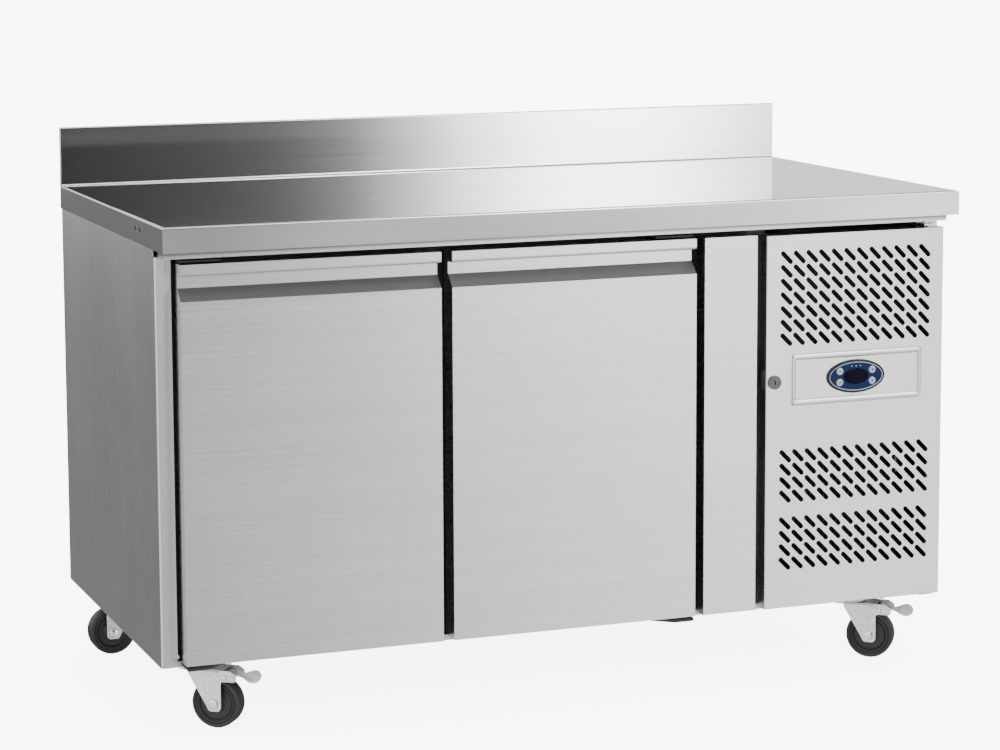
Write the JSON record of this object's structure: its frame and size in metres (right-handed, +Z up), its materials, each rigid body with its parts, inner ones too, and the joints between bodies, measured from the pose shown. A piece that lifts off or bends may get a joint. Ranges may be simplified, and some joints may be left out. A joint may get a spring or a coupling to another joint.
{
  "type": "undercounter refrigerator",
  "caption": "Stainless refrigerated counter on swivel casters: hinged solid doors with integrated handle lips, worktop with rear upstand, louvred machine panel with oval controller.",
  "frame": {"origin": "on the floor, under the middle of the footprint", "axes": "+X right along the doors, +Y to the back (the doors face -Y), +Z up"},
  "size_m": [1.36, 0.7, 0.905],
  "materials": {
    "stainless": "brushed, straight grain",
    "galvanised": "galvanised sheet",
    "zinc": "bright zinc plate",
    "board": "raw board",
    "foam": "rigid polyurethane foam",
    "grey_plastic": "moulded",
    "gasket": "soft vinyl",
    "black_plastic": "moulded",
    "black_metal": "black paint",
    "aluminium": "mill finish",
    "copper": "drawn copper tube",
    "coated_wire": "coated wire",
    "blue_plastic": "printed overlay",
    "silver_plastic": "metallised",
    "tyre": "moulded rubber"
  },
  "bodies": {
    "cabinet": {"worktop": "stainless", "worktop_core": "board", "upstand": "stainless", "subtop_panel": "stainless", "left_side_panel": "stainless", "right_side_panel": "stainless", "rear_panel": "galvanised", "base_panel": "galvanised", "insulation": "foam", "inner_liner": "stainless", "door_frame": "black_plastic", "centre_mullion": "black_plastic", "filler_panel": "stainless", "machine_partition": "galvanised", "unit_tray": "galvanised", "compressor": "black_metal", "condenser_coil": "aluminium", "condenser_shroud": "galvanised", "fan_motors": "black_metal", "evaporator_coil": "aluminium", "evaporator_cover": "stainless", "refrigerant_pipes": "copper", "drip_tray": "aluminium", "electrical_box": "grey_plastic", "shelf_supports": "stainless", "wire_shelves": "coated_wire", "door_hinge_brackets": "black_metal", "panel_hinge_brackets": "stainless", "caster_plates": "zinc", "screws": "stainless", "cable_gland": "black_plastic"},
    "left_door": {"left_door_skin": "stainless", "left_door_core": "foam", "left_door_liner": "grey_plastic", "left_door_gasket": "gasket"},
    "right_door": {"right_door_skin": "stainless", "right_door_core": "foam", "right_door_liner": "grey_plastic", "right_door_gasket": "gasket"},
    "machine_door": {"machine_panel": "stainless", "controller_housing": "black_plastic", "controller_face": "blue_plastic", "lock_barrel": "stainless"},
    "lock": {"lock_plug": "stainless"},
    "button_upper_left": {"button_upper_left": "silver_plastic"},
    "button_lower_left": {"button_lower_left": "silver_plastic"},
    "button_upper_right": {"button_upper_right": "silver_plastic"},
    "button_lower_right": {"button_lower_right": "silver_plastic"},
    "condenser_fan": {"condenser_fan": "black_metal"},
    "evaporator_fan": {"evaporator_fan": "black_plastic"},
    "fork_front_left": {"caster_fork_front_left": "zinc"},
    "wheel_front_left": {"caster_wheel_front_left": "tyre"},
    "fork_front_right": {"caster_fork_front_right": "zinc"},
    "wheel_front_right": {"caster_wheel_front_right": "tyre"},
    "fork_rear_left": {"caster_fork_rear_left": "zinc"},
    "wheel_rear_left": {"caster_wheel_rear_left": "tyre"},
    "fork_rear_right": {"caster_fork_rear_right": "zinc"},
    "wheel_rear_right": {"caster_wheel_rear_right": "tyre"},
    "brake_front_left": {"caster_brake_front_left": "zinc"},
    "brake_front_right": {"caster_brake_front_right": "zinc"}
  },
  "joints": [
    {"name": "left_door_hinge", "type": "hinge", "parent": "cabinet", "child": "left_door", "pos_m": [-0.629, -0.306, 0.13], "axis": [0, 0, -1], "range_deg": [0, 105], "stiffness_Nm_per_rad": 0.6, "springref_deg": -20.05},
    {"name": "right_door_hinge", "type": "hinge", "parent": "cabinet", "child": "right_door", "pos_m": [0.195, -0.306, 0.13], "axis": [0, 0, 1], "range_deg": [0, 105], "stiffness_Nm_per_rad": 0.6, "springref_deg": -20.05},
    {"name": "machine_panel_hinge", "type": "hinge", "parent": "cabinet", "child": "machine_door", "pos_m": [0.649, -0.306, 0.13], "axis": [0, 0, 1], "range_deg": [0, 110]},
    {"name": "lock_turn", "type": "hinge", "parent": "machine_door", "child": "lock", "pos_m": [0.3542, -0.306, 0.4996], "axis": [0, 1, 0], "range_deg": [0, 90]},
    {"name": "button_upper_left_press", "type": "slide", "parent": "machine_door", "child": "button_upper_left", "axis": [0, 1, 0], "range_m": [0, 0.0008], "stiffness_N_per_m": 400, "springref_m": -0.0005},
    {"name": "button_lower_left_press", "type": "slide", "parent": "machine_door", "child": "button_lower_left", "axis": [0, 1, 0], "range_m": [0, 0.0008], "stiffness_N_per_m": 400, "springref_m": -0.0005},
    {"name": "button_upper_right_press", "type": "slide", "parent": "machine_door", "child": "button_upper_right", "axis": [0, 1, 0], "range_m": [0, 0.0008], "stiffness_N_per_m": 400, "springref_m": -0.0005},
    {"name": "button_lower_right_press", "type": "slide", "parent": "machine_door", "child": "button_lower_right", "axis": [0, 1, 0], "range_m": [0, 0.0008], "stiffness_N_per_m": 400, "springref_m": -0.0005},
    {"name": "condenser_fan_spin", "type": "hinge", "parent": "cabinet", "child": "condenser_fan", "pos_m": [0.5, -0.165, 0.27], "axis": [0, 1, 0], "continuous": true},
    {"name": "evaporator_fan_spin", "type": "hinge", "parent": "cabinet", "child": "evaporator_fan", "pos_m": [0.2, 0.06, 0.51], "axis": [1, 0, 0], "continuous": true},
    {"name": "caster_swivel_front_left", "type": "hinge", "parent": "cabinet", "child": "fork_front_left", "pos_m": [-0.602, -0.235, 0.1], "axis": [0, 0, 1], "continuous": true},
    {"name": "wheel_spin_front_left", "type": "hinge", "parent": "fork_front_left", "child": "wheel_front_left", "pos_m": [-0.57836, -0.25347, 0.04], "axis": [0.6157, 0.788, 0], "continuous": true},
    {"name": "brake_pedal_front_left", "type": "hinge", "parent": "fork_front_left", "child": "brake_front_left", "pos_m": [-0.56417, -0.26455, 0.084], "axis": [0.6157, 0.788, 0], "range_deg": [0, 12]},
    {"name": "caster_swivel_front_right", "type": "hinge", "parent": "cabinet", "child": "fork_front_right", "pos_m": [0.553, -0.235, 0.1], "axis": [0, 0, 1], "continuous": true},
    {"name": "wheel_spin_front_right", "type": "hinge", "parent": "fork_front_right", "child": "wheel_front_right", "pos_m": [0.57664, -0.25347, 0.04], "axis": [0.6157, 0.788, 0], "continuous": true},
    {"name": "brake_pedal_front_right", "type": "hinge", "parent": "fork_front_right", "child": "brake_front_right", "pos_m": [0.59083, -0.26455, 0.084], "axis": [0.6157, 0.788, 0], "range_deg": [0, 12]},
    {"name": "caster_swivel_rear_left", "type": "hinge", "parent": "cabinet", "child": "fork_rear_left", "pos_m": [-0.602, 0.241, 0.1], "axis": [0, 0, 1], "continuous": true},
    {"name": "wheel_spin_rear_left", "type": "hinge", "parent": "fork_rear_left", "child": "wheel_rear_left", "pos_m": [-0.632, 0.241, 0.04], "axis": [0, -1, 0], "continuous": true},
    {"name": "caster_swivel_rear_right", "type": "hinge", "parent": "cabinet", "child": "fork_rear_right", "pos_m": [0.553, 0.245, 0.1], "axis": [0, 0, 1], "continuous": true},
    {"name": "wheel_spin_rear_right", "type": "hinge", "parent": "fork_rear_right", "child": "wheel_rear_right", "pos_m": [0.523, 0.245, 0.04], "axis": [0, -1, 0], "continuous": true}
  ]
}
